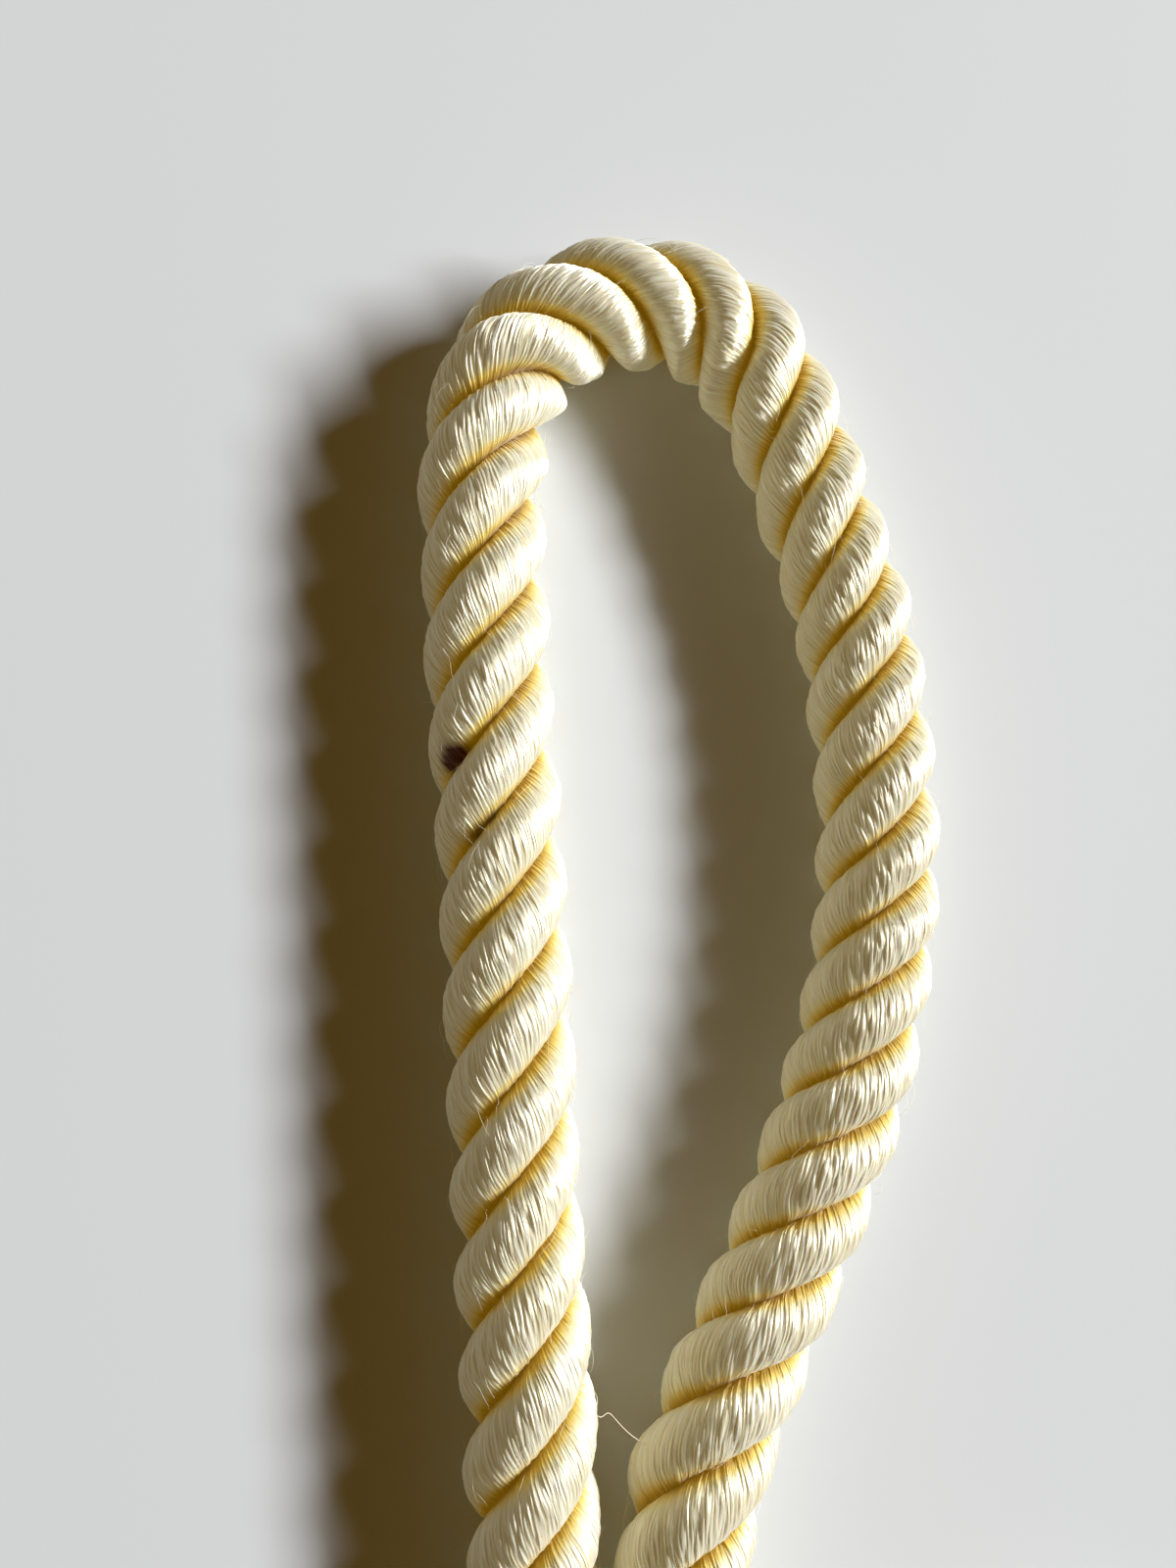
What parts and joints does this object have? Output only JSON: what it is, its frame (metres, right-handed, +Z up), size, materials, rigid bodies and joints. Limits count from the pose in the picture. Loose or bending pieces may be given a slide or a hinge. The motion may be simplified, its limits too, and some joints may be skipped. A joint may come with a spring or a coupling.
{
  "type": "twisted satin cord",
  "caption": "Three-strand twisted satin cord folded in a bight, its legs put away in a flat tied hank with whipped ends.",
  "frame": {"origin": "under the middle of the whole cord, on the surface that it lies on", "axes": "+Y towards the bight, -Y towards the hank's fold, +X to the right seen from above, +Z up"},
  "size_m": [0.0805, 0.2952, 0.0126],
  "materials": {
    "satin": "ivory satin filament yarn, laid nearly along the cord, bright sheen",
    "thread": "waxed whipping thread in close turns",
    "tape": "matt cotton herringbone tape"
  },
  "bodies": {
    "root": {"strand_1": "satin", "strand_2": "satin", "strand_3": "satin", "whipping_left": "thread", "whipping_right": "thread", "hank_tie": "tape"}
  },
  "joints": []
}
